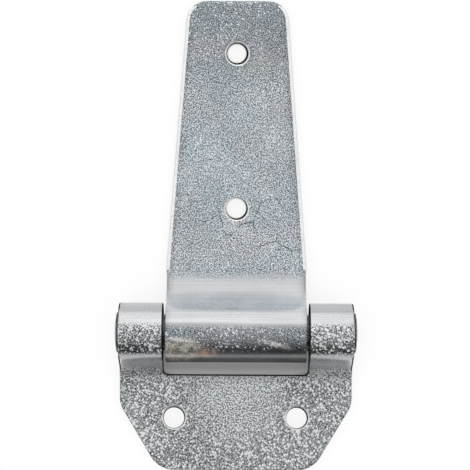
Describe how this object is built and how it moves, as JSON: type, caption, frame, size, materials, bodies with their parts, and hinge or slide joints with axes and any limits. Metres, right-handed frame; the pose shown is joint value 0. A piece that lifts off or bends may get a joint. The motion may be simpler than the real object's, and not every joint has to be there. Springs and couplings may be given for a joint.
{
  "type": "tee hinge",
  "caption": "Tee hinge in plated steel sheet: a tapered strap leaf and a notched base leaf, rolled into knuckles on a riveted pin.",
  "frame": {"origin": "midway between the base leaf's two screw holes, on the mounting plane at the back of both leaves", "axes": "+X along the pin, +Y towards the tip of the strap, +Z out of the mounting plane"},
  "size_m": [0.0672, 0.1316, 0.0166],
  "materials": {
    "strap_plating": "zinc plated, fine grain",
    "base_plating": "zinc plated, coarse grain",
    "pin_steel": "zinc plated, riveted ends"
  },
  "bodies": {
    "base": {"base_leaf": "base_plating", "hinge_pin": "pin_steel"},
    "strap": {"strap_leaf": "strap_plating"}
  },
  "joints": [
    {"name": "strap_swing", "type": "hinge", "parent": "base", "child": "strap", "pos_m": [0, 0.024, 0.00835], "axis": [1, 0, 0], "range_deg": [0, 194]}
  ]
}
